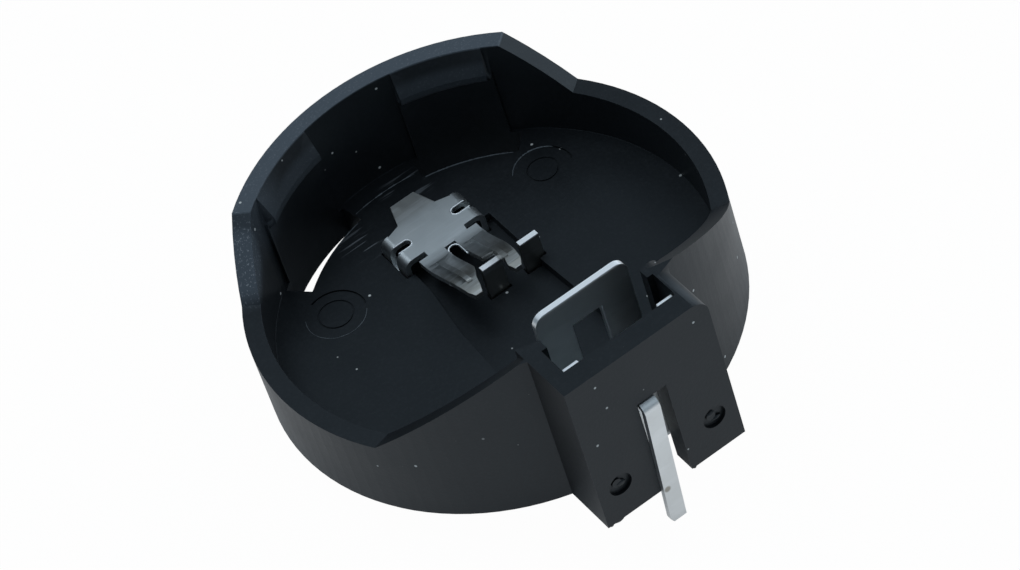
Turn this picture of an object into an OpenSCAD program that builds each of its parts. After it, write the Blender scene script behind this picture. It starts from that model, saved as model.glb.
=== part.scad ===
// Coin cell holder for a 20 mm cell, soldered through a board.
// A moulded cup with two snap lips and a raised terminal block, a folded
// U spring that touches the cell's rim, and a stamped plate with two sprung
// fingers that touches the cell's underside.
// Millimetres. Z = 0 is the board face, the cup's axis is Z, the block is at -Y.

/* [Cup] */
// Outer radius of the cup's wall
cup_r = 11.5; // [11.2:0.1:12.5]
// Thickness of the cup's wall
wall_t = 0.9; // [0.7:0.05:1.2]
// Height of the low rim at both sides, where a finger tips the cell out
side_h = 4.25; // [3.8:0.05:4.8]
// Height of the rear wall that carries the snap lips
rear_h = 7.3; // [6.9:0.1:8]
// Thickness of the cup's floor
floor_t = 1.6; // [1.4:0.1:1.8]

/* [Snap lips] */
// How far each lip reaches over the cell
lip_reach = 0.55; // [0.3:0.05:0.8]
// Height of the lips' underside, which holds the cell's top face down
lip_z = 5.6; // [5.4:0.1:6]
// Angle from the rear to the near end of each lip
lip_a0 = 13.5; // [10:0.5:18]
// Angle from the rear to the far end of each lip
lip_a1 = 37.5; // [32:0.5:40]

/* [Terminal block] */
// Width of the block
block_w = 7.7; // [7.4:0.1:9]
// Distance from the cup's axis to the block's front face
block_front = 13.65; // [13.4:0.05:14.5]
// Height of the block
block_h = 9.15; // [8.8:0.05:10]
// Thickness of the block's front wall
front_t = 1.15; // [1:0.05:1.3]

/* [Contacts] */
// Thickness of the sheet metal
sheet_t = 0.3; // [0.2:0.05:0.35]
// Width of the U spring
spring_w = 5; // [4.4:0.1:5.2]
// Top of the U spring's inner leaf
spring_h = 9.65; // [9.3:0.05:9.9]
// Top face of the centre plate
plate_z = 2.4; // [2.2:0.05:2.6]
// How far the fingers' crowns stand above the centre plate
finger_rise = 1.15; // [0.7:0.05:1.3]
// Length of the solder pins below the board face
pin_l = 1.95; // [1.5:0.05:3.5]

/* [Hidden] */
$fn = 96;
eps = 0.01;
far = 40;

plastic = [0.13, 0.13, 0.15];
nickel = [0.78, 0.79, 0.78];

in_r = cup_r - wall_t;

// The rear slopes climb at 45 degrees from an angle off the X axis.
slope_a = 31.7;
slope_dir = 40;
slope_k = 1;

// The front ramps climb to the block on a plane turned a little outwards.
ramp_dir = 15;
ramp_s = 2.85;
ramp_k = 0.766;

// Slots through the floor under the lips, and the wall that their cores leave
slot_r0 = 9.14;
slot_r1 = 10.45;
slot_a0 = 11.5;
slot_a1 = 41.5;
pad_a0 = 13;
pad_a1 = 38.5;

// Shallow channel along the floor from the centre plate to the U spring
chan_d = 0.5;
chan_left = [[-1.95, 4.66], [-2, 2.7], [-2.5, -0.7], [-2.68, -3.7], [-2.7, -11]];
chan_right = [[2.95, -11], [2.9, -2.1], [2.76, 0.8], [2.75, 4.66]];

// Ejector marks on the floor: place, radius of the ring, arc round the rear
marks = [[6.18, 5, 0.8], [-6.05, 4.8, 0.9]];
mark_w = 0.1;
mark_arc_r = 1.42;

// Pocket of the U spring, and its mouth towards the cup
pocket_w = 6.1;
pocket_y1 = -(block_front - front_t);
pocket_y0 = -10.8;
mouth_w = 5.5;
mouth_y = -9.05;

// Notch in the block's front wall for the pin
notch_x0 = -1.12;
notch_x1 = 0.85;
notch_h = 5.85;

// Round marks on the block's front face
face_marks = [[-2.65, 2.05], [2.62, 2.1]];
face_mark_r = 0.6;
face_mark_d = 0.18;

// U spring: inner leaf, bend and outer leg
leaf_y = -9.3;
leaf_corner_r = 0.6;
leg_y = pocket_y1 + 0.04;
bend_r = (leaf_y - leg_y) / 2;
bend_z = 0.45 + bend_r;
leg_w = 6;
leg_h = 8.95;
shoulder_x = 2.15;
shoulder_z = 6.9;
shoulder_h = 1.2;
window_w = 1.56;
window_z0 = 4.6;
window_z1 = 7.95;

// Positive pin, which leans a little to one side
pin_w = 0.82;
pin_x0 = -0.24;
pin_x1 = -0.6;
pin_top_z = 5.75;
pin_bend_r = 0.5;
pin_tip = 0.14;
pin_y = -(block_front + 0.32);

// Negative contact: plate, tab and wings
tab_y = 7.8;
tab_w0 = 1.4;
tab_w1 = 2.12;
tab_y1 = 6.5;
wing_y0 = 4.2;
wing_y1 = 6.3;
wing_x = 2.32;
wing_bend_r = 0.5;
wing_slot_w = 0.52;
wing_slot_y = 5.25;
wing_slot_x = 1.45;

// Negative contact: sprung fingers
finger_x = 1.65;
finger_root_y = 3.75;
crown_y = -0.35;
tip_y = -0.85;
droop = 6;
gap_w = 0.6;
gap_y = 3.55;
rib_x = 1.02;
rib_w = 0.26;
rib_h = 0.07;

// Negative contact: blades through the floor and the strap that joins them
blade_w = 1.05;
blade_y = 0.72;
blade_h = 3;
blade_x = [0.45, 2.6];
strap_z = 0.05;
strap_w = 1.1;
clear = 0.08;

// ---------------------------------------------------------------- helpers

// Sector of a ring between two angles, in the XY plane
module ring_sector(r0, r1, a0, a1, h) {
    rotate([0, 0, a0])
        rotate_extrude(angle = a1 - a0)
            translate([r0, 0])
                square([r1 - r0, h]);
}

// Slab with round corners, standing in the XZ plane and t thick towards +Y
module upright(w, h, r, t) {
    translate([0, t, 0])
        rotate([90, 0, 0])
            linear_extrude(t)
                union() {
                    translate([-w / 2, 0])
                        square([w, h - r]);
                    translate([-w / 2 + r, 0])
                        square([w - 2 * r, h]);
                    for (x = [-w / 2 + r, w / 2 - r])
                        translate([x, h - r])
                            circle(r);
                }
}

// Quarter bend of sheet about the X axis: w wide, from angle a0 over a
module bend_x(w, r_out, a0, a, t) {
    rotate([0, -90, 0])
        translate([0, 0, -w / 2])
            rotate([0, 0, a0])
                rotate_extrude(angle = a)
                    translate([r_out - t, 0])
                        square([t, w]);
}

// ---------------------------------------------------------------- housing

// Space under a plane that climbs from height side_h at distance s from the
// axis, measured along a line turned by a; way is 1 to the rear, -1 to the front
module under_slope(a, s, way, gradient) {
    root = 2;
    low = side_h - root * gradient;
    rotate([0, 0, a])
        rotate([90, 0, 90])
            translate([0, 0, -far])
                linear_extrude(2 * far)
                    polygon([
                        [s - way * root, low],
                        [s + way * far, side_h + far * gradient],
                        [s + way * far, low]
                    ]);
}

// The same on both sides, up to a level top
module under_both(a, s, way, gradient, top) {
    intersection() {
        under_slope(a, s, way, gradient);
        mirror([1, 0, 0])
            under_slope(a, s, way, gradient);
        translate([-far, -far, 0])
            cube([2 * far, 2 * far, top]);
    }
}

// Round wall: low at both sides, high at the rear, rising to the block in front
module cup_wall() {
    slope_s = (in_r + wall_t / 2) * sin(slope_a - slope_dir);
    intersection() {
        ring_sector(in_r, cup_r, 0, 360, far);
        union() {
            translate([-far, -far, 0])
                cube([2 * far, 2 * far, side_h]);
            under_both(slope_dir, slope_s, 1, slope_k, rear_h);
            under_both(-ramp_dir, -ramp_s, -1, ramp_k, block_h);
        }
    }
}

// One snap lip: a wedge that leans in from the rear wall's top edge, over the
// part of the wall that the slot's core leaves a little thicker
module lip() {
    nose_h = 0.35;
    rotate([0, 0, 90 + lip_a0])
        rotate_extrude(angle = lip_a1 - lip_a0)
            polygon([
                [in_r + eps, lip_z - lip_reach], [in_r - lip_reach, lip_z],
                [in_r - lip_reach, lip_z + nose_h], [in_r, rear_h], [in_r + eps, rear_h]
            ]);
    ring_sector(slot_r1, in_r + eps, 90 + pad_a0, 90 + pad_a1, lip_z);
}

// Ejector mark: a thin ring, and an arc round it on the rear side
module floor_mark(r) {
    ring_sector(r - mark_w, r, 0, 360, 1);
    translate([0, 0, -0.05])
        ring_sector(mark_arc_r, mark_arc_r + mark_w, -18, 110, 1);
}

// Floor with its channel, the slots under the lips and the ejector marks
module cup_floor() {
    mark_d = 0.06;
    difference() {
        cylinder(r = in_r + eps, h = floor_t);
        translate([0, 0, floor_t - chan_d])
            linear_extrude(floor_t)
                polygon(concat(chan_left, chan_right));
        for (side = [0, 1])
            mirror([side, 0, 0])
                translate([0, 0, -eps])
                    ring_sector(slot_r0, slot_r1, 90 + slot_a0, 90 + slot_a1, far);
        for (m = marks)
            translate([m[0], m[1], floor_t - mark_d])
                floor_mark(m[2]);
    }
}

// Outline of the block seen from the front, with one corner well rounded
module block_outline() {
    r = 0.8;
    union() {
        translate([-block_w / 2, 0])
            square([block_w, block_h - r]);
        translate([-block_w / 2, 0])
            square([block_w - r, block_h]);
        translate([block_w / 2 - r, block_h - r])
            circle(r);
    }
}

// Solid block that reaches back to the cup's wall
module block_body() {
    difference() {
        translate([0, -in_r * 0.93, 0])
            rotate([90, 0, 0])
                linear_extrude(block_front - in_r * 0.93)
                    block_outline();
        translate([0, 0, -eps])
            cylinder(r = in_r, h = far);
    }
}

// Pocket, mouth and notch that the U spring and its pin stand in
module block_cutter() {
    translate([-pocket_w / 2, pocket_y1, -1])
        cube([pocket_w, pocket_y0 - pocket_y1, far]);
    translate([-mouth_w / 2, pocket_y0 - eps, -1])
        cube([mouth_w, mouth_y - pocket_y0 + eps, far]);
    translate([notch_x0, -block_front - 1, -1])
        cube([notch_x1 - notch_x0, front_t + 2, notch_h + 1]);
    for (m = face_marks)
        translate([m[0], face_mark_d - block_front, m[1]])
            rotate([90, 0, 0])
                difference() {
                    cylinder(r = face_mark_r, h = 1);
                    translate([-0.12, 0.1, -eps])
                        cylinder(r = face_mark_r * 0.4, h = face_mark_d * 0.6);
                }
}

// Slots for the centre contact's legs and blades, and a recess for its strap
module contact_cutter() {
    recess_h = 1 + strap_z + sheet_t + clear;
    for (side = [-1, 1])
        translate([side * (wing_x - sheet_t / 2) - sheet_t / 2 - clear, wing_y0 - clear, -1])
            cube([sheet_t + 2 * clear, wing_y1 - wing_y0 + 2 * clear, far]);
    for (x = blade_x)
        translate([x - blade_w / 2 - clear, blade_y - sheet_t / 2 - clear, -1])
            cube([blade_w + 2 * clear, sheet_t + 2 * clear, far]);
    translate([blade_x[0] - blade_w / 2 - clear, blade_y - sheet_t / 2 - clear, -1])
        cube([blade_x[1] - blade_x[0] + blade_w + 2 * clear, strap_w + 2 * clear, recess_h]);
    translate([wing_x - strap_w - clear, blade_y, -1])
        cube([strap_w + 2 * clear, wing_y1 - blade_y + clear, recess_h]);
}

module housing() {
    color(plastic)
        difference() {
            union() {
                cup_wall();
                cup_floor();
                lip();
                mirror([1, 0, 0])
                    lip();
                block_body();
            }
            block_cutter();
            contact_cutter();
        }
}

// ------------------------------------------------------- positive contact

// Inner leaf with its window and round top corners
module spring_leaf() {
    difference() {
        translate([0, leaf_y - sheet_t, bend_z])
            upright(spring_w, spring_h - bend_z, leaf_corner_r, sheet_t);
        translate([-window_w / 2, leaf_y - 1, window_z0])
            cube([window_w, 2, window_z1 - window_z0]);
    }
}

// Outer leg with a shoulder left standing at each side
module spring_leg() {
    translate([-leg_w / 2, leg_y, shoulder_z - shoulder_h])
        cube([leg_w, sheet_t, shoulder_h]);
    translate([-spring_w / 2, leg_y, bend_z])
        cube([spring_w, sheet_t, shoulder_z - bend_z]);
    for (side = [0, 1])
        mirror([side, 0, 0])
            translate([shoulder_x, leg_y, shoulder_z - eps])
                cube([leg_w / 2 - shoulder_x, sheet_t, leg_h - shoulder_z + eps]);
}

// Half-round bend that joins leaf and leg
module spring_bend() {
    translate([0, (leaf_y + leg_y) / 2, bend_z])
        bend_x(spring_w, bend_r, 90, 180, sheet_t);
}

// Strip that leaves the leg through the notch and turns down into the pin
module positive_pin() {
    arm_y = pin_y + pin_bend_r;
    hang = pin_top_z - pin_bend_r;
    translate([pin_x0 - pin_w / 2, arm_y, pin_top_z - sheet_t])
        cube([pin_w, leg_y + eps - arm_y, sheet_t]);
    translate([pin_x0, arm_y, hang])
        bend_x(pin_w, pin_bend_r, 270, 90, sheet_t);
    translate([0, pin_y + sheet_t, 0])
        rotate([90, 0, 0])
            linear_extrude(sheet_t)
                polygon([
                    [pin_x0 - pin_w / 2, hang + eps],
                    [pin_x1 - pin_w / 2, 2 * pin_tip - pin_l],
                    [pin_x1 - pin_w / 2 + pin_tip, -pin_l],
                    [pin_x1 + pin_w / 2, -pin_l],
                    [pin_x0 + pin_w / 2, hang + eps]
                ]);
}

module positive_contact() {
    color(nickel)
        union() {
            spring_leaf();
            spring_leg();
            spring_bend();
            positive_pin();
        }
}

// ------------------------------------------------------- negative contact

// Flat stamped plate: rear tab, body and the roots of the wings and fingers
module centre_plate() {
    flat_x = wing_x - wing_bend_r;
    half = [
        [tab_w0 / 2, tab_y], [tab_w1 / 2, tab_y1], [flat_x, wing_y1 - 0.06],
        [flat_x, wing_y0], [1.15, wing_y0], [1.15, wing_y0 - 0.42],
        [finger_x, finger_root_y + 0.06], [finger_x, finger_root_y - 0.05]
    ];
    translate([0, 0, plate_z - sheet_t])
        linear_extrude(sheet_t)
            difference() {
                for (side = [0, 1])
                    mirror([side, 0])
                        polygon(concat(half, [[-eps, finger_root_y - 0.05], [-eps, tab_y]]));
                hull_slot(gap_w, gap_y, 0);
                for (side = [0, 1])
                    mirror([side, 0])
                        rounded_slot();
            }
}

// Gap between the fingers, with a round end
module hull_slot(w, y1, y0) {
    translate([-w / 2, y0])
        square([w, y1 - w / 2 - y0]);
    translate([0, y1 - w / 2])
        circle(w / 2);
}

// Slot across a wing, with a round inner end
module rounded_slot() {
    translate([wing_slot_x, wing_slot_y])
        circle(wing_slot_w / 2);
    translate([wing_slot_x, wing_slot_y - wing_slot_w / 2])
        square([2, wing_slot_w]);
}

// Wing: the plate's edge rolled down into a leg that stands in the floor
module wing() {
    span = wing_y1 - wing_y0;
    slot_low = plate_z - 1;
    difference() {
        union() {
            translate([wing_x - wing_bend_r, wing_y1, plate_z - wing_bend_r])
                rotate([90, 0, 0])
                    rotate_extrude(angle = 90)
                        translate([wing_bend_r - sheet_t, 0])
                            square([sheet_t, span]);
            translate([wing_x - sheet_t, wing_y0, strap_z])
                cube([sheet_t, span, plate_z - wing_bend_r - strap_z + eps]);
        }
        translate([0, 0, slot_low])
            linear_extrude(far)
                rounded_slot();
    }
}

// Height of a finger's top face along its length
function finger_z(y) =
    let (s = (finger_root_y - y) / (finger_root_y - crown_y))
    plate_z + finger_rise * (s < 1 ? (1 - cos(180 * s)) / 2 : 1 - droop * (s - 1) * (s - 1));

// Side view of a finger, raised by lift over its own top face
module finger_side(y0, y1, lift) {
    steps = 14;
    ys = [for (i = [0:steps]) y0 + (y1 - y0) * i / steps];
    polygon(concat(
        [for (y = ys) [y, finger_z(y) + lift]],
        [for (i = [steps:-1:0]) [ys[i], finger_z(ys[i]) - sheet_t]]
    ));
}

// One sprung finger: rises to a crown and turns down at its tip, with a rib.
// Points of inner give its edge along the gap, from the root to the tip.
module finger(inner) {
    outer = [
        [1.3, tip_y], [1.5, -0.5], [1.6, 0.2], [finger_x, 1.1],
        [finger_x, finger_root_y + 0.1]
    ];
    intersection() {
        rotate([90, 0, 90])
            linear_extrude(finger_x)
                finger_side(finger_root_y + 0.1, tip_y, 0);
        linear_extrude(far)
            polygon(concat([[gap_w / 2, finger_root_y + 0.1]], inner, outer));
    }
    translate([rib_x - rib_w / 2, 0, 0])
        rotate([90, 0, 90])
            linear_extrude(rib_w)
                finger_side(3.1, 0, rib_h);
}

// Blades through the floor, joined under it by a strap to one wing's leg
module blades() {
    for (x = blade_x)
        translate([x - blade_w / 2, blade_y - sheet_t / 2, -pin_l])
            cube([blade_w, sheet_t, pin_l + blade_h]);
    translate([blade_x[0] - blade_w / 2, blade_y - sheet_t / 2, strap_z])
        cube([blade_x[1] - blade_x[0] + blade_w, strap_w, sheet_t]);
    translate([wing_x - strap_w, blade_y, strap_z])
        cube([strap_w, wing_y1 - blade_y, sheet_t]);
}

module negative_contact() {
    color(nickel)
        union() {
            centre_plate();
            for (side = [0, 1])
                mirror([side, 0, 0])
                    wing();
            finger([[gap_w / 2, 1.1], [1.05, 0.98], [1.05, 0.4], [0.8, -0.5], [0.95, tip_y]]);
            mirror([1, 0, 0])
                finger([[gap_w / 2, 0.8], [0.63, 0.1], [0.8, -0.5], [0.95, tip_y]]);
            blades();
        }
}

housing();
positive_contact();
negative_contact();
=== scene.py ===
"""Looks of the coin cell holder: finishes, softened edges, moulding marks, light and camera.

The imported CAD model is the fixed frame. Each CAD node is copied, its long edges get the small
radius that a mould or a press leaves, and the copy stands for the node. Small marks left by the
mould are surfaces of their own. All lengths are written in millimetres and scaled by MM.
"""

import logging
import math
from collections.abc import Callable
from dataclasses import dataclass
from enum import Enum

import bmesh
import bpy
import numpy as np
from mathutils import Matrix, Vector


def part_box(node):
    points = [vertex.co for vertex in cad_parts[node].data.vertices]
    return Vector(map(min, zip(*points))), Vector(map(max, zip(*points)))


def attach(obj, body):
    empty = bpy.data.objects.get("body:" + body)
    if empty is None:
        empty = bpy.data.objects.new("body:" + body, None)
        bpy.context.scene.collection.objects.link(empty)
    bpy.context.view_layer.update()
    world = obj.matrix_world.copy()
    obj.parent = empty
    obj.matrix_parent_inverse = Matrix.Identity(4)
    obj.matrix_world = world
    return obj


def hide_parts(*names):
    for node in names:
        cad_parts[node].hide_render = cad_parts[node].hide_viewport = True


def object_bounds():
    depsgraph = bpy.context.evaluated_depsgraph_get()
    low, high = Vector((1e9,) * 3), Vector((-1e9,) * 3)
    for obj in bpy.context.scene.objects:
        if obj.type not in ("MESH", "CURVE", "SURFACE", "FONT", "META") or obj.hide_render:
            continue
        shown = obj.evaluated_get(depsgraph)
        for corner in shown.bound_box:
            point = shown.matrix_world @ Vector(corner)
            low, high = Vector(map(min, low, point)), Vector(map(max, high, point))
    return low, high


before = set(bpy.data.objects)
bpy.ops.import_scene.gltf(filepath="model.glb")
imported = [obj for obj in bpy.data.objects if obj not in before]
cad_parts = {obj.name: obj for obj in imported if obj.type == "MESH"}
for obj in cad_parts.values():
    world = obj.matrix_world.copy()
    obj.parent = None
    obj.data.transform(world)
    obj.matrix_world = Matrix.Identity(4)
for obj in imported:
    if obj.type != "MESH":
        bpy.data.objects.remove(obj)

Colour = tuple[float, float, float]
Place = tuple[float, float, float]
Fade = tuple[float, float]

CAD_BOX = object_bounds()
MM = 0.001
WHITE = (1.0, 1.0, 1.0, 1.0)
SEED = 7
LOG = logging.getLogger("cell_holder")


class Slot(Enum):
    """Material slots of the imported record."""

    PLASTIC = "plastic"
    CONTACT = "contact"


# ---------------------------------------------------------------- shader maths


class Sock:
    """A number that a shader node gives out, with Python's operators on it."""

    def __init__(self, net: "Net", socket: bpy.types.NodeSocket) -> None:
        """Keeps the socket and the net that it belongs to.

        Args:
            net: Builder that adds the Math nodes.
            socket: Output socket that is wrapped.
        """
        self.net = net
        self.socket = socket

    def _op(self, operation: str, *values: "Sock | float") -> "Sock":
        """Adds one Math node.

        Args:
            operation: Name of the Math node's operation.
            values: Its inputs, in order.

        Returns:
            The node's result.
        """
        return self.net.add("ShaderNodeMath", {"operation": operation}, dict(enumerate(values)))

    def __add__(self, other: "Sock | float") -> "Sock":
        """Sum."""
        return self._op("ADD", self, other)

    def __sub__(self, other: "Sock | float") -> "Sock":
        """Difference."""
        return self._op("SUBTRACT", self, other)

    def __mul__(self, other: "Sock | float") -> "Sock":
        """Product."""
        return self._op("MULTIPLY", self, other)

    def __rsub__(self, other: float) -> "Sock":
        """Difference from a plain number."""
        return self._op("SUBTRACT", other, self)

    __radd__ = __add__
    __rmul__ = __mul__

    def most(self, other: "Sock | float") -> "Sock":
        """The larger of two values."""
        return self._op("MAXIMUM", self, other)

    def step(self, empty: float, full: float) -> "Sock":
        """Smooth step from 0 at empty to 1 at full, whichever of the two is the larger.

        Args:
            empty: Value at which the result is 0.
            full: Value at which the result is 1.

        Returns:
            The smoothed mask, between 0 and 1.
        """
        ends = {0: self, 1: min(empty, full), 2: max(empty, full)}
        rise = self.net.add("ShaderNodeMapRange", {"interpolation_type": "SMOOTHSTEP"}, ends)
        return rise if empty < full else 1 - rise


class Net:
    """Node tree of a material or of the world, with one method for every kind of node."""

    def __init__(self, tree: bpy.types.NodeTree, output: str = "ShaderNodeOutputMaterial") -> None:
        """Empties the tree and adds its output node.

        Args:
            tree: The tree of the material or world.
            output: Type name of its output node.
        """
        self.tree = tree
        self.tree.nodes.clear()
        self.output = self.node(output)

    def node(
        self,
        kind: str,
        settings: dict[str, object] | None = None,
        inputs: dict[int | str, object] | None = None,
    ) -> bpy.types.Node:
        """Adds a node, makes its settings, then fills its inputs.

        Args:
            kind: The node's type name.
            settings: Properties, set before the inputs.
            inputs: Values, sockets or wrapped sockets by index or name.

        Returns:
            The node.
        """
        node = self.tree.nodes.new(kind)
        for key, value in (settings or {}).items():
            setattr(node, key, value)
        for key, value in (inputs or {}).items():
            if isinstance(value, Sock):
                value = value.socket
            if isinstance(value, bpy.types.NodeSocket):
                self.tree.links.new(value, node.inputs[key])
            else:
                node.inputs[key].default_value = value
        return node

    def add(
        self,
        kind: str,
        settings: dict[str, object] | None = None,
        inputs: dict[int | str, object] | None = None,
        out: int | str = 0,
    ) -> Sock:
        """Adds a node and wraps one of its outputs.

        Args:
            kind: The node's type name.
            settings: Properties, set before the inputs.
            inputs: Values or sockets by index or name.
            out: The output that is wanted.

        Returns:
            The wrapped output.
        """
        return Sock(self, self.node(kind, settings, inputs).outputs[out])

    def finish(self, shader: bpy.types.Node) -> None:
        """Joins a shader to the tree's output."""
        self.tree.links.new(shader.outputs[0], self.output.inputs[0])

    def place(self) -> bpy.types.NodeSocket:
        """Position on the object, in millimetres."""
        coords = self.node("ShaderNodeTexCoord").outputs["Object"]
        inputs = {0: coords, "Scale": 1 / MM}
        return self.node("ShaderNodeVectorMath", {"operation": "SCALE"}, inputs).outputs[0]

    def split(self, vector: bpy.types.NodeSocket) -> list[Sock]:
        """The three parts of a position or colour, in order."""
        parts = self.node("ShaderNodeSeparateXYZ", {}, {0: vector})
        return [Sock(self, out) for out in parts.outputs]

    def stretched(self, place: bpy.types.NodeSocket, factors: Place) -> bpy.types.NodeSocket:
        """Position with each axis multiplied, for grain that runs along an axis.

        Args:
            place: Position socket.
            factors: Multiplier of each axis.

        Returns:
            The multiplied position.
        """
        inputs = {0: place, 1: factors}
        return self.node("ShaderNodeVectorMath", {"operation": "MULTIPLY"}, inputs).outputs[0]

    def noise(
        self, place: bpy.types.NodeSocket, per_mm: float, detail: float = 2.0, rough: float = 0.5
    ) -> Sock:
        """Cloudy noise between 0 and 1.

        Args:
            place: Position socket.
            per_mm: Waves per millimetre.
            detail: Number of finer layers.
            rough: Share of the finer layers.

        Returns:
            The noise value.
        """
        inputs = {"Vector": place, "Scale": per_mm, "Detail": detail, "Roughness": rough}
        return self.add("ShaderNodeTexNoise", {}, inputs)

    def near(
        self, place: bpy.types.NodeSocket, point: Place, inner: float, outer: float
    ) -> Sock:
        """Round mask that is 1 within inner of a point and 0 beyond outer.

        Args:
            place: Position socket.
            point: Centre, in millimetres.
            inner: Radius of the full mask.
            outer: Radius at which it ends.

        Returns:
            The mask.
        """
        inputs = {0: place, 1: point}
        far = self.add("ShaderNodeVectorMath", {"operation": "DISTANCE"}, inputs, "Value")
        return far.step(outer, inner)

    def blend(
        self,
        mask: Sock,
        first: Colour | bpy.types.NodeSocket,
        second: Colour | bpy.types.NodeSocket,
    ) -> bpy.types.NodeSocket:
        """Colour that goes from first to second as a mask goes from 0 to 1.

        Args:
            mask: Share of the second colour.
            first: Colour or colour socket.
            second: Colour or colour socket.

        Returns:
            The mixed colour.
        """
        ends = [(*end, 1.0) if isinstance(end, tuple) else end for end in (first, second)]
        inputs = {"Factor": mask, 6: ends[0], 7: ends[1]}
        return self.node("ShaderNodeMix", {"data_type": "RGBA"}, inputs).outputs[2]

    def bump(self, height: Sock, depth: float, strength: float) -> bpy.types.NodeSocket:
        """Normal of a height field.

        Args:
            height: Height between 0 and 1.
            depth: Depth that 1 stands for, in millimetres.
            strength: Strength of the effect.

        Returns:
            The normal.
        """
        inputs = {"Height": height, "Distance": depth * MM, "Strength": strength}
        return self.node("ShaderNodeBump", {}, inputs).outputs[0]

    def surface(self, **inputs: object) -> None:
        """Adds the main shader and joins it to the output.

        Args:
            inputs: Socket names with underscores for spaces, and their values.
        """
        named = {key.replace("_", " "): value for key, value in inputs.items()}
        self.finish(self.node("ShaderNodeBsdfPrincipled", {}, named))


def new_material(name: str) -> tuple[bpy.types.Material, Net]:
    """Makes a material and the builder of its nodes.

    Args:
        name: The material's name.

    Returns:
        The material and its builder.
    """
    material = bpy.data.materials.new(name)
    material.use_nodes = True
    return material, Net(material.node_tree)


# ---------------------------------------------------------------- finishes


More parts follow.
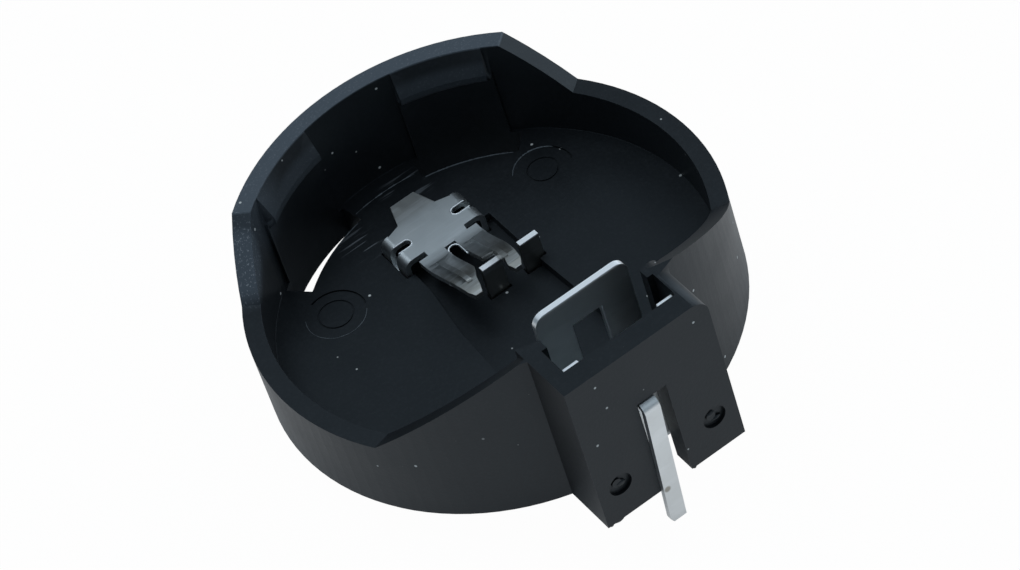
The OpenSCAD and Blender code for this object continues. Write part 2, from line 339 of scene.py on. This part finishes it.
@dataclass(frozen=True)
class BlackMoulding:
    """Black thermoplastic: eggshell skin, a worn left rear slope, a lighter rear rim, painted light
    on the lips, fine scratches and a little dust.

    Places and fades are in millimetres. A fade gives the value at which its mask is empty,
    then the one at which it is full.
    """

    name: str = "black_moulding"
    base: Colour = (0.0055, 0.0064, 0.0076)
    clouded: Colour = (0.008, 0.009, 0.0104)
    # Lighter colour of the wear on the left rear slope, of a band on the rear rim and of the
    # painted light on the lips.
    worn_and_lit: Colour = (0.11, 0.13, 0.155)
    grain: Colour = (0.34, 0.36, 0.39)
    dust: Colour = (0.62, 0.62, 0.6)
    # Bluish tint of the reflections: painted reflection colour that stands in for a bluish light.
    tint: tuple[float, float, float, float] = (0.8, 0.91, 1.0, 1.0)
    roughness: float = 0.42
    gloss: float = 0.4

    skin_per_mm: float = 5.5
    cloud_per_mm: float = 0.45
    speckle_per_mm: float = 9.0
    skin_depth: float = 0.012
    bump_strength: float = 0.5
    scratch_depth: float = 1.5
    speckle_depth: float = 1.2

    cloud_fade: Fade = (0.3, 0.75)
    skin_fade: Fade = (0.45, 0.75)
    speckle_fade: Fade = (0.56, 0.7)
    cloud_share: float = 0.5
    skin_share: float = 0.012
    worn_and_lit_share: float = 0.7
    speckle_share: float = 0.75
    scratch_share: float = 0.3

    worn_slope: Place = (-8.95, 6.75, 6.0)
    # Centre of the lighter patch on the left rear lip, which is painted light.
    lit_lip: Place = (-6.9, 8.1, 6.6)
    rear_half: Fade = (-1.0, 1.0)
    rim_rise: Fade = (7.2, 7.28)
    rim_end: Fade = (7.5, 7.4)
    lip_inward: Fade = (10.4, 10.2)
    lip_rise: Fade = (5.5, 5.7)

    scratched_left: Place = (-2.6, 7.6, 1.6)
    scratched_right: Place = (0.9, 9.0, 1.6)
    scratch_run: Place = (0.5, 7.0, 1.0)
    scratch_fade: Fade = (0.6, 0.68)
    grain_radius: Fade = (0.085, 0.05)
    grain_chance: Fade = (0.5, 0.52)

    def build(self) -> bpy.types.Material:
        """Builds the material.

        Returns:
            The material, for the housing and its moulding marks.
        """
        material, net = new_material(self.name)
        place = net.place()
        skin = net.noise(place, self.skin_per_mm, 3.0, 0.6)
        cloud = net.noise(place, self.cloud_per_mm, 3.0)
        wear_and_light = self._wear_and_lit_parts(net, place)
        speckle = self._speckle(net, place, wear_and_light)
        scratches = self._scratches(net, place)
        specks = self._dust(net, place)
        colour = net.blend(cloud.step(*self.cloud_fade) * self.cloud_share, self.base, self.clouded)
        colour = net.blend(skin.step(*self.skin_fade) * self.skin_share, colour, self.grain)
        # Lighter tone of the wear, of the rear rim's band and of the painted light on the lips.
        colour = net.blend(wear_and_light * self.worn_and_lit_share, colour, self.worn_and_lit)
        colour = net.blend(speckle * self.speckle_share, colour, self.grain)
        colour = net.blend(scratches * self.scratch_share, colour, self.grain)
        colour = net.blend(specks, colour, self.dust)
        uneven = (cloud - 0.5) * 0.12 + (skin - 0.5) * 0.1
        height = skin + scratches * self.scratch_depth + speckle * self.speckle_depth
        net.surface(
            Base_Color=colour,
            Roughness=uneven + self.roughness + wear_and_light * 0.06 + specks * 0.4,
            Normal=net.bump(height, self.skin_depth, self.bump_strength),
            Specular_IOR_Level=self.gloss,
            Specular_Tint=self.tint,
        )
        return material

    def _wear_and_lit_parts(self, net: Net, place: bpy.types.NodeSocket) -> Sock:
        """Mask of the lighter parts: wear on the left rear slope, a lighter band on top of the rear
        rim, and painted light on the lips.

        Args:
            net: The material's builder.
            place: Position in millimetres.

        Returns:
            The mask: full on the worn left rear slope, less on the rear rim, least on the lips,
                whose lighter tone is painted light.
        """
        _, along, up = net.split(place)
        slope = net.near(place, self.worn_slope, 1.2, 2.4)
        # Painted light: a lighter patch on the left rear lip, where light falls on it.
        lip = net.near(place, self.lit_lip, 0.8, 3.0) * 0.45
        behind = along.step(*self.rear_half)
        # A lighter band along the top of the rear rim.
        rim = up.step(*self.rim_rise) * up.step(*self.rim_end) * behind * 0.9
        flat = net.stretched(place, (1.0, 1.0, 0.0))
        out = net.add("ShaderNodeVectorMath", {"operation": "LENGTH"}, {0: flat}, "Value")
        # Painted light: the lips' inward faces in the rear half are made lighter, as if lit from
        # the front.
        faces = out.step(*self.lip_inward) * up.step(*self.lip_rise) * behind * 0.3
        return slope.most(lip).most(rim).most(faces)

    def _speckle(self, net: Net, place: bpy.types.NodeSocket, wear_and_light: Sock) -> Sock:
        """Mask of pale grains in the worn and lightened parts, strongest on the left rear slope.

        Args:
            net: The material's builder.
            place: Position in millimetres.
            wear_and_light: Mask of the worn parts and of the parts lightened as painted light.

        Returns:
            The mask.
        """
        worn = net.near(place, self.worn_slope, 1.4, 3.4)
        grains = net.noise(place, self.speckle_per_mm, 2.0, 0.7).step(*self.speckle_fade)
        return grains * (wear_and_light * 0.25).most(worn * wear_and_light)

    def _scratches(self, net: Net, place: bpy.types.NodeSocket) -> Sock:
        """Mask of short scratches on the floor beside the centre contact's tab.

        Args:
            net: The material's builder.
            place: Position in millimetres.

        Returns:
            The mask.
        """
        run = net.stretched(place, self.scratch_run)
        lines = net.noise(run, 1.0, 1.0).step(*self.scratch_fade)
        left = net.near(place, self.scratched_left, 0.4, 1.5)
        right = net.near(place, self.scratched_right, 0.4, 1.6)
        return lines * left.most(right)

    def _dust(self, net: Net, place: bpy.types.NodeSocket) -> Sock:
        """Mask of sparse dust grains: one dot in about half of the cells.

        Args:
            net: The material's builder.
            place: Position in millimetres.

        Returns:
            The mask.
        """
        cells = net.node("ShaderNodeTexVoronoi", {}, {"Vector": place, "Scale": 1.0})
        dot = Sock(net, cells.outputs["Distance"]).step(*self.grain_radius)
        return dot * net.split(cells.outputs["Color"])[0].step(*self.grain_chance)


@dataclass(frozen=True)
class NickelSheet:
    """Nickel-plated spring sheet: satin faces with rolling streaks, sheared edges with a painted
    highlight on their tops, and painted shade on the tab and the fingers' tips.

    Places and fades are in millimetres, as in BlackMoulding.
    """

    name: str = "nickel_sheet"
    base: Colour = (0.7, 0.73, 0.74)
    # Darker colour of the stains and of the painted shade on the tab and the fingers' tips.
    stain_and_shade: Colour = (0.34, 0.33, 0.3)
    streak: Colour = (0.86, 0.89, 0.92)
    # Lighter colour of the painted highlight on the tops of the sheared edges.
    painted_highlight: Colour = (0.96, 0.97, 0.98)
    roughness: float = 0.37
    bump_depth: float = 0.003
    bump_strength: float = 0.1

    grain_run: Place = (14.0, 1.6, 1.6)
    streak_run: Place = (0.3, 3.2, 1.0)
    cloud_per_mm: float = 1.3
    pits_per_mm: float = 6.0
    worn_fade: Fade = (0.5, 0.85)
    pit_fade: Fade = (0.7, 0.8)
    streak_fade: Fade = (0.5, 0.66)
    worn_share: float = 0.1
    pit_share: float = 0.08
    streak_share: float = 0.3

    pin_spot: Place = (-0.72, -13.98, 0.25)
    window_side: Place = (-0.82, -9.12, 5.2)
    leaf_top: Fade = (9.5, 9.58)
    shoulder_top: Fade = (8.84, 8.9)
    shoulder_front: Fade = (-12.0, -12.1)
    blade_top: Fade = (2.9, 2.96)
    blade_end: Fade = (3.1, 3.02)
    blade_front: Fade = (0.3, 0.45)
    blade_back: Fade = (1.12, 1.0)
    tab: Fade = (6.2, 7.0)
    finger_tips: Fade = (2.6, 0.4)
    tips_end: Fade = (-2.5, -1.5)

    def build(self) -> bpy.types.Material:
        """Builds the material.

        Returns:
            The material, for both contacts.
        """
        material, net = new_material(self.name)
        place = net.place()
        grain = net.noise(net.stretched(place, self.grain_run), 1.0, 2.0)
        cloud = net.noise(place, self.cloud_per_mm, 3.0, 0.6)
        pits = net.noise(place, self.pits_per_mm, 2.0).step(*self.pit_fade)
        spot = net.near(place, self.pin_spot, 0.1, 0.22)
        worn = cloud.step(*self.worn_fade) * self.worn_share
        # Darker parts: random clouds, pits and a spot on the pin, plus painted shade on the tab and
        # the fingers' tips.
        stain_and_shade_mask = worn.most(pits * self.pit_share).most(spot).most(self._painted_shade(net, place))
        lines = net.noise(net.stretched(place, self.streak_run), 1.0, 3.0)
        # Painted highlight: the sheared edges' tops and one side of the window are lighter, as
        # light falls on them.
        painted_highlight = self._painted_highlight_mask(net, place)
        colour = net.blend(stain_and_shade_mask, self.base, self.stain_and_shade)
        colour = net.blend(lines.step(*self.streak_fade) * self.streak_share, colour, self.streak)
        colour = net.blend(painted_highlight, colour, self.painted_highlight)
        net.surface(
            Base_Color=colour,
            Metallic=1.0,
            Roughness=(cloud - 0.5) * 0.12 + (grain - 0.5) * 0.06 + self.roughness + painted_highlight * 0.3,
            Normal=net.bump(grain + cloud * 0.4, self.bump_depth, self.bump_strength),
        )
        return material

    def _painted_highlight_mask(self, net: Net, place: bpy.types.NodeSocket) -> Sock:
        """Mask of the painted highlight on the sheared edges: leaf top, shoulders, blade tops,
        window side.

        Args:
            net: The material's builder.
            place: Position in millimetres.

        Returns:
            The mask.
        """
        _, along, up = net.split(place)
        leaf = up.step(*self.leaf_top)
        shoulder = up.step(*self.shoulder_top) * along.step(*self.shoulder_front)
        height = up.step(*self.blade_top) * up.step(*self.blade_end)
        blade = height * along.step(*self.blade_front) * along.step(*self.blade_back)
        window = net.near(place, self.window_side, 0.12, 0.4)
        return leaf.most(shoulder).most(blade).most(window)

    def _painted_shade(self, net: Net, place: bpy.types.NodeSocket) -> Sock:
        """Mask of the painted shade: the plate's tab and the fingers' tips are darker.

        Args:
            net: The material's builder.
            place: Position in millimetres.

        Returns:
            The mask.
        """
        along = net.split(place)[1]
        # Painted shade: the tilted tab is darker, as less light falls on it.
        tab = along.step(*self.tab) * 0.55
        # Painted shade: the fingers' tips are darker.
        tips = along.step(*self.finger_tips) * along.step(*self.tips_end) * 0.85
        return tab.most(tips)


# ---------------------------------------------------------------- meshes


def put_object(name: str, mesh: bpy.types.Mesh, material: bpy.types.Material) -> bpy.types.Object:
    """Puts a mesh into the scene with one material.

    Args:
        name: The object's name.
        mesh: Its mesh.
        material: Its material.

    Returns:
        The object, at the origin.
    """
    mesh.materials.clear()
    mesh.materials.append(material)
    thing = bpy.data.objects.new(name, mesh)
    bpy.context.scene.collection.objects.link(thing)
    return thing


def put_piece(
    name: str, mesh: bpy.types.Mesh, material: bpy.types.Material
) -> bpy.types.Object:
    """Puts a piece of the holder into the scene and reports it.

    Args:
        name: The piece's name.
        mesh: Its mesh.
        material: Its material.

    Returns:
        The piece, which rides on the holder's only body.
    """
    piece = put_object(name, mesh, material)
    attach(piece, "root")
    LOG.info("%s: %d faces", name, len(mesh.polygons))
    return piece


def ring_mesh(name: str, points: np.ndarray) -> bpy.types.Mesh:
    """Closed mesh of rings of points, with a cap on the first and the last ring.

    Args:
        name: The mesh's name.
        points: Array of shape (rings, points of a ring, 3), in metres.

    Returns:
        The mesh.
    """
    rows, cols = points.shape[:2]
    here = np.arange(rows * cols).reshape(rows, cols)
    right = np.roll(here, -1, axis=1)
    quads = np.stack([here[:-1], right[:-1], right[1:], here[1:]], axis=-1)
    faces = quads.reshape(-1, 4).tolist() + [here[0, ::-1].tolist(), here[-1].tolist()]
    mesh = bpy.data.meshes.new(name)
    mesh.from_pydata(points.reshape(-1, 3).tolist(), [], faces)
    mesh.shade_smooth()
    return mesh


def tube(name: str, path: np.ndarray, radius: np.ndarray, sides: int = 8) -> bpy.types.Mesh:
    """Closed tube along a flat path.

    At each path point p it has the ring p + r (n cos t + b sin t), where n lies level across
    the path and b is at right angles to both.

    Args:
        name: The mesh's name.
        path: Points of shape (rows, 3), in millimetres.
        radius: Radius at each point, in millimetres.
        sides: Number of sides.

    Returns:
        The mesh, in metres.
    """
    tangent = np.gradient(path, axis=0)
    tangent /= np.linalg.norm(tangent, axis=1, keepdims=True)
    level = np.cross(tangent, [0.0, 0.0, 1.0])
    level /= np.linalg.norm(level, axis=1, keepdims=True)
    down = np.cross(tangent, level)
    turn = np.linspace(0, 2 * np.pi, sides, endpoint=False)[None, :, None]
    ring = level[:, None] * np.cos(turn) + down[:, None] * np.sin(turn)
    return ring_mesh(name, (path[:, None] + ring * radius[:, None, None]) * MM)


# ---------------------------------------------------------------- softened nodes


@dataclass
class SoftenedNode:
    """Copy of a CAD node whose long, clear edges get a small radius.

    An edge is softened if it is sharper than sharp_deg, if each edge that meets it is longer
    than clear, and if its middle lies outside the crisp_y stretch. Lengths are in millimetres.
    """

    node: str
    slot: Slot
    radius: float = 0.07
    sharp_deg: float = 28.0
    clear: float = 0.22
    crisp_y: tuple[float, float] = (0.0, 0.0)
    reshape: Callable[[bmesh.types.BMesh], None] | None = None
    steps: int = 2
    merge: float = 0.0002
    flat_deg: float = 0.05

    def build(self, material: bpy.types.Material) -> bpy.types.Object:
        """Copies, cleans, softens and places the node.

        Args:
            material: Finish of the copy.

        Returns:
            The piece that stands for the node.
        """
        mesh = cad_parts[self.node].data.copy()
        shape = self._cleaned(mesh)
        if self.reshape:
            self.reshape(shape)
        weight = shape.edges.layers.float.new("bevel_weight_edge")
        edges = self._long_edges(shape)
        for edge in edges:
            edge[weight] = 1.0
        shape.to_mesh(mesh)
        shape.free()
        mesh.set_sharp_from_angle(angle=math.radians(self.sharp_deg))
        piece = put_piece(f"{self.node}_surface", mesh, material)
        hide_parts(self.node)
        bevel = piece.modifiers.new("edge_radius", "BEVEL")
        bevel.limit_method = "WEIGHT"
        bevel.width = self.radius * MM
        bevel.segments = self.steps
        bevel.use_clamp_overlap = True
        even = piece.modifiers.new("even_shading", "WEIGHTED_NORMAL")
        even.keep_sharp = True
        LOG.info("%s: %d softened edges", piece.name, len(edges))
        return piece

    def _cleaned(self, mesh: bpy.types.Mesh) -> bmesh.types.BMesh:
        """Merges the loose triangles and joins the ones that lie in one plane.

        Args:
            mesh: Mesh of loose triangles.

        Returns:
            The cleaned shape, all of its faces smooth.
        """
        shape = bmesh.new()
        shape.from_mesh(mesh)
        bmesh.ops.remove_doubles(shape, verts=shape.verts, dist=self.merge * MM)
        bmesh.ops.dissolve_limit(
            shape, angle_limit=math.radians(self.flat_deg), verts=shape.verts, edges=shape.edges
        )
        for face in shape.faces:
            face.smooth = True
        return shape

    def _long_edges(self, shape: bmesh.types.BMesh) -> list[bmesh.types.BMEdge]:
        """Sharp edges with room for the radius on both sides.

        Args:
            shape: The cleaned mesh.

        Returns:
            The edges.
        """
        sharp = math.radians(self.sharp_deg)
        low, high = self.crisp_y
        found = []
        for edge in shape.edges:
            if not edge.is_manifold or edge.calc_face_angle() < sharp:
                continue
            middle_y = (edge.verts[0].co.y + edge.verts[1].co.y) / (2 * MM)
            if low < middle_y < high:
                continue
            met = [e for v in edge.verts for e in v.link_edges if e is not edge]
            if min(e.calc_length() for e in met) > self.clear * MM:
                found.append(edge)
        return found


@dataclass(frozen=True)
class NotchWall:
    """Left wall of the pin's notch, in millimetres: where the solid has it and where it goes."""

    solid_x: float = -1.12
    beside_pin_x: float = -0.74
    depth: float = 1.4
    slack: float = 0.02

    def move(self, shape: bmesh.types.BMesh) -> None:
        """Brings the wall up to the pin, which stands right beside it.

        Args:
            shape: Mesh of the housing.
        """
        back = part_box("housing")[0].y + self.depth * MM
        wall = [v for v in shape.verts if self._on_wall(v.co.x) and v.co.y < back]
        for vert in wall:
            vert.co.x = self.beside_pin_x * MM
        LOG.info("notch wall: %d corners moved", len(wall))

    def _on_wall(self, x: float) -> bool:
        """Whether a corner at x, in metres, lies on the wall."""
        return abs(x / MM - self.solid_x) < self.slack


# ---------------------------------------------------------------- moulding marks


@dataclass
class ArcRidge:
    """Fine ridge along an arc on the floor, as a mould insert's edge leaves it."""

    name: str
    centre: tuple[float, float]
    radius: float
    start_deg: float
    end_deg: float
    height: float
    broken: float = 0.0
    floor_top: float = 1.6
    thinnest: float = 0.004
    unevenness: float = 0.25
    rows: int = 60

    def build(self, material: bpy.types.Material, rng: np.random.Generator) -> None:
        """Builds the ridge as a tube half sunk in the floor, thinned at both ends.

        Along u from 0 to 1 its radius is height times sin(pi u) to the power 0.3, with small
        random changes, and it drops by the share broken where sin(9 pi u + 1) is above 0.3.

        Args:
            material: Finish of the ridge.
            rng: Source of the small unevenness.
        """
        u = np.linspace(0, 1, self.rows)
        turn = np.radians(self.start_deg + (self.end_deg - self.start_deg) * u)
        level = np.full_like(turn, self.floor_top)
        path = np.column_stack(
            [
                self.centre[0] + self.radius * np.cos(turn),
                self.centre[1] + self.radius * np.sin(turn),
                level,
            ]
        )
        uneven = (1 + self.unevenness * rng.standard_normal(self.rows)).clip(0.4, 1.6)
        gaps = 1 - self.broken * (np.sin(9 * np.pi * u + 1) > 0.3)
        radius = self.height * np.sin(np.pi * u) ** 0.3 * uneven * gaps + self.thinnest
        put_piece(self.name, tube(self.name, path, radius), material)


@dataclass
class RolledRim:
    """Rolled rim that the punch leaves round a slot in the centre plate; its brightness is a
    painted highlight in its finish.
    """

    name: str
    end: tuple[float, float]
    half_width: float
    reach: float
    heading_deg: float
    plate_top: float = 2.4
    thick: float = 0.045
    sunk: float = 0.35
    bend_rows: int = 17
    side_rows: int = 8

    def build(self, material: bpy.types.Material) -> None:
        """Builds the rim as a tube along a U: one side, the round end, the other side.

        Args:
            material: Finish of the rim.
        """
        turn = np.linspace(-np.pi / 2, np.pi / 2, self.bend_rows)
        bend = self.half_width * np.column_stack([np.cos(turn), np.sin(turn)])
        run = np.linspace(1, 0.08, self.side_rows)[:, None] * [[-self.reach, 0.0]]
        across = np.array([0.0, self.half_width])
        flat = np.concatenate([run - across, bend, run[::-1] + across])
        way = math.radians(self.heading_deg)
        spin = np.array([[math.cos(way), math.sin(way)], [-math.sin(way), math.cos(way)]])
        level = np.full(len(flat), self.plate_top - self.thick * self.sunk)
        path = np.column_stack([flat @ spin + self.end, level])
        mesh = tube(self.name, path, np.full(len(flat), self.thick))
        put_piece(self.name, mesh, material)


@dataclass
class Burr:
    """Crumb of flash on the front of the moulded block."""

    name: str
    centre: Place
    size: Place
    pole: float = 0.02
    lumps: float = 0.16
    rows: int = 18
    cols: int = 24

    def build(self, material: bpy.types.Material, rng: np.random.Generator) -> None:
        """Builds a lumpy ball.

        Its radius at u from pole to pole and v around is 1 plus, for j from 2 to 5, lumps / j
        times sin(j u + p) sin(j v + q) with random p and q. The ball is then scaled to size.

        Args:
            material: Finish of the crumb.
            rng: Source of the waves' phases.
        """
        u = np.linspace(self.pole, np.pi - self.pole, self.rows)[:, None]
        v = np.linspace(0, 2 * np.pi, self.cols, endpoint=False)[None, :]
        radius = np.ones((self.rows, self.cols))
        for wave in range(2, 6):
            p, q = rng.uniform(0, 2 * np.pi, 2)
            radius += self.lumps / wave * np.sin(wave * u + p) * np.sin(wave * v + q)
        ball = [radius * np.sin(u) * np.cos(v), radius * np.sin(u) * np.sin(v), radius * np.cos(u)]
        points = (np.stack(ball, axis=-1) * self.size + self.centre) * MM
        put_piece(self.name, ring_mesh(self.name, points[::-1]), material)


@dataclass(frozen=True)
class MouldingMarks:
    """Marks that the mould and the punch leave: ridges, rolled rims, burrs and crumbs."""

    ridges: tuple[ArcRidge, ...] = (
        ArcRidge("slot_ridge", (0.0, 0.0), 9.1, 50.0, 78.0, 0.035),
        ArcRidge("rear_ridge", (0.0, 0.0), 9.6, 80.0, 101.0, 0.03, broken=0.7),
        ArcRidge("left_ridge", (0.0, 0.0), 9.09, 103.0, 118.0, 0.022, broken=0.5),
        ArcRidge("mark_ridge", (6.18, 5.0), 1.47, 35.0, 150.0, 0.03),
        ArcRidge("mark_ring_left", (-6.05, 4.8), 1.47, 150.0, 330.0, 0.018, broken=0.5),
    )
    rims: tuple[RolledRim, ...] = (
        RolledRim("wing_slot_rim_right", (1.45, 5.25), 0.26, 0.62, 180.0),
        RolledRim("wing_slot_rim_left", (-1.45, 5.25), 0.26, 0.62, 0.0),
        RolledRim("gap_rim", (0.0, 3.25), 0.3, 0.7, 90.0),
    )
    burrs: tuple[Burr, ...] = (
        Burr("burr_left", (-3.2, -13.48, -0.05), (0.28, 0.15, 0.15)),
        Burr("burr_corner", (-3.64, -13.48, -0.01), (0.18, 0.15, 0.13)),
        Burr("burr_notch", (1.02, -13.5, -0.03), (0.15, 0.14, 0.12)),
        Burr("crumb_right_upper", (2.5, -13.52, 2.32), (0.22, 0.09, 0.13)),
        Burr("crumb_right_lower", (2.74, -13.52, 1.9), (0.26, 0.09, 0.1)),
        Burr("crumb_left", (-2.6, -13.53, 2.0), (0.26, 0.08, 0.16)),
    )

    def build(
        self,
        ridge_highlight: bpy.types.Material,
        rolled: bpy.types.Material,
        plastic: bpy.types.Material,
        rng: np.random.Generator,
    ) -> None:
        """Builds the ridges, then the rims, then the burrs.

        Args:
            ridge_highlight: Finish of the ridges, a lighter copy of the plastic that paints a
                highlight on them.
            rolled: Finish of the rims, a lighter copy of the nickel that paints a highlight on
                them.
            plastic: Finish of the burrs and crumbs.
            rng: Source of the unevenness of ridges and burrs.
        """
        for ridge in self.ridges:
            ridge.build(ridge_highlight, rng)
        for rim in self.rims:
            rim.build(rolled)
        for burr in self.burrs:
            burr.build(plastic, rng)


# ---------------------------------------------------------------- stage


def heading(azimuth: float, elevation: float) -> Vector:
    """Unit vector of a direction from the holder.

    Args:
        azimuth: Angle from +X towards +Y, in degrees.
        elevation: Height angle, in degrees.

    Returns:
        The vector.
    """
    turn, tilt = math.radians(azimuth), math.radians(elevation)
    level = math.cos(tilt)
    return Vector((level * math.cos(turn), level * math.sin(turn), math.sin(tilt)))


@dataclass(frozen=True)
class Softbox:
    """Square soft lamp that faces the holder; radiance 1 makes its face white."""

    name: str
    azimuth: float
    elevation: float
    away: float
    size: float
    radiance: float
    colour: Colour = (0.8, 0.91, 1.0)

    def build(self) -> None:
        """Builds the lamp."""
        data = bpy.data.lights.new(self.name, "AREA")
        data.shape = "SQUARE"
        data.size = self.size * MM
        data.energy = self.radiance * math.pi * (self.size * MM) ** 2
        data.color = self.colour
        lamp = bpy.data.objects.new(self.name, data)
        way = heading(self.azimuth, self.elevation)
        lamp.location = way * self.away * MM
        lamp.rotation_euler = way.to_track_quat("Z", "Y").to_euler()
        bpy.context.scene.collection.objects.link(lamp)


@dataclass(frozen=True)
class PaleFloor:
    """Large pale floor just under the pins; it keeps the holder's shadow."""

    clearance: float = 0.01
    size: float = 900.0
    colour: tuple[float, float, float, float] = (0.9, 0.9, 0.9, 1.0)
    white_share: float = 0.98
    mirrored_share: float = 0.5
    shaded_radius: float = 10.0
    clear_radius: float = 15.0

    def build(self) -> None:
        """Builds the floor as one level square."""
        level = CAD_BOX[0].z / MM - self.clearance
        half = self.size / 2 * MM
        z = level * MM
        corners = [(-half, -half, z), (half, -half, z), (half, half, z), (-half, half, z)]
        mesh = bpy.data.meshes.new("floor")
        mesh.from_pydata(corners, [], [(0, 1, 2, 3)])
        put_object("floor", mesh, self._material(level))

    def _material(self, level: float) -> bpy.types.Material:
        """Matte white that the camera and mirrored rays see glow; a round painted shadow under the
        holder dims the glow that mirrored rays see.

        Args:
            level: Height of the floor, in millimetres.

        Returns:
            The material.
        """
        material, net = new_material("pale_floor")
        path = net.node("ShaderNodeLightPath")
        rays = ("Is Camera Ray", "Is Glossy Ray", "Is Transmission Ray")
        camera, glossy, through = (Sock(net, path.outputs[ray]) for ray in rays)
        # Painted shadow: the glow that mirrored rays see fades in a round patch under the holder.
        under = net.near(net.place(), (0.0, 0.0, level), self.shaded_radius, self.clear_radius)
        mirrored = glossy.most(through) * (1 - under) * self.mirrored_share
        seen = (camera * self.white_share).most(mirrored)
        matte = net.node("ShaderNodeBsdfDiffuse", {}, {"Color": self.colour})
        glow = net.node("ShaderNodeEmission", {}, {"Color": WHITE, "Strength": 1.0})
        ends = {0: seen, 1: matte.outputs[0], 2: glow.outputs[0]}
        net.finish(net.node("ShaderNodeMixShader", {}, ends))
        return material


@dataclass(frozen=True)
class Surround:
    """Soft bluish surround that the camera sees as white."""

    colour: tuple[float, float, float, float] = (0.72, 0.87, 1.0, 1.0)
    strength: float = 0.3

    def build(self) -> None:
        """Builds the world."""
        world = bpy.data.worlds.new("surround")
        bpy.context.scene.world = world
        world.use_nodes = True
        net = Net(world.node_tree, "ShaderNodeOutputWorld")
        light = {"Color": self.colour, "Strength": self.strength}
        light = net.node("ShaderNodeBackground", {}, light)
        white = net.node("ShaderNodeBackground", {}, {"Color": WHITE, "Strength": 1.0})
        seen = net.node("ShaderNodeLightPath").outputs["Is Camera Ray"]
        ends = {0: seen, 1: light.outputs[0], 2: white.outputs[0]}
        net.finish(net.node("ShaderNodeMixShader", {}, ends))


@dataclass(frozen=True)
class LongLens:
    """Camera above the block's left corner, rolled a little to the left."""

    look_at: Place = (-0.011, -1.994, 4.0)
    azimuth: float = -111.174
    elevation: float = 46.170
    roll: float = -18.985
    distance: float = 208.72
    lens: float = 161.99
    sensor_width: float = 36.0
    nearest: float = 10.0
    farthest: float = 10000.0

    def build(self) -> None:
        """Builds the camera and makes it the scene's own."""
        data = bpy.data.cameras.new("camera")
        data.lens = self.lens
        data.sensor_width = self.sensor_width
        data.clip_start = self.nearest * MM
        data.clip_end = self.farthest * MM
        camera = bpy.data.objects.new("camera", data)
        way = heading(self.azimuth, self.elevation)
        facing = way.to_track_quat("Z", "Y").to_matrix()
        rolled = facing @ Matrix.Rotation(math.radians(self.roll), 3, "Z")
        camera.location = (Vector(self.look_at) + way * self.distance) * MM
        camera.rotation_euler = rolled.to_euler()
        bpy.context.scene.collection.objects.link(camera)
        bpy.context.scene.camera = camera


@dataclass(frozen=True)
class Studio:
    """Floor, surround, lamps and camera."""

    lamps: tuple[Softbox, ...] = (
        Softbox("top_softbox", azimuth=125.0, elevation=72.0, away=300.0, size=170.0, radiance=2.2),
        Softbox("side_softbox", azimuth=12.0, elevation=26.0, away=300.0, size=260.0, radiance=1.5),
        Softbox("front_fill", azimuth=-50.0, elevation=35.0, away=320.0, size=200.0, radiance=0.5),
    )

    def build(self) -> None:
        """Builds the stage in order."""
        PaleFloor().build()
        Surround().build()
        for lamp in self.lamps:
            lamp.build()
        LongLens().build()
        bpy.context.scene.view_settings.view_transform = "Standard"


def main() -> None:
    """Builds the pieces in order, then the stage."""
    logging.basicConfig(level=logging.INFO, format="%(message)s")
    plastic = BlackMoulding().build()
    # Lighter copy of the plastic for the ridges: a painted highlight along them.
    ridge_highlight = BlackMoulding(
        "ridge_highlight_moulding", base=(0.13, 0.145, 0.16), worn_and_lit=(0.3, 0.32, 0.35), roughness=0.5
    ).build()
    nickel = NickelSheet().build()
    # Lighter copy of the nickel for the rolled rims: a painted highlight along them.
    rolled = NickelSheet("rim_highlight_nickel", base=(0.93, 0.95, 0.97), roughness=0.45).build()
    SoftenedNode(
        "housing", Slot.PLASTIC, sharp_deg=16.0, crisp_y=(-12.6, -6.0), reshape=NotchWall().move
    ).build(plastic)
    SoftenedNode("positive_contact", Slot.CONTACT, radius=0.05, clear=0.12).build(nickel)
    SoftenedNode(
        "negative_contact", Slot.CONTACT, radius=0.035, clear=0.1, crisp_y=(-1.0, 3.9)
    ).build(nickel)
    MouldingMarks().build(ridge_highlight, rolled, plastic, np.random.default_rng(SEED))
    Studio().build()


if __name__ == "__main__":
    main()
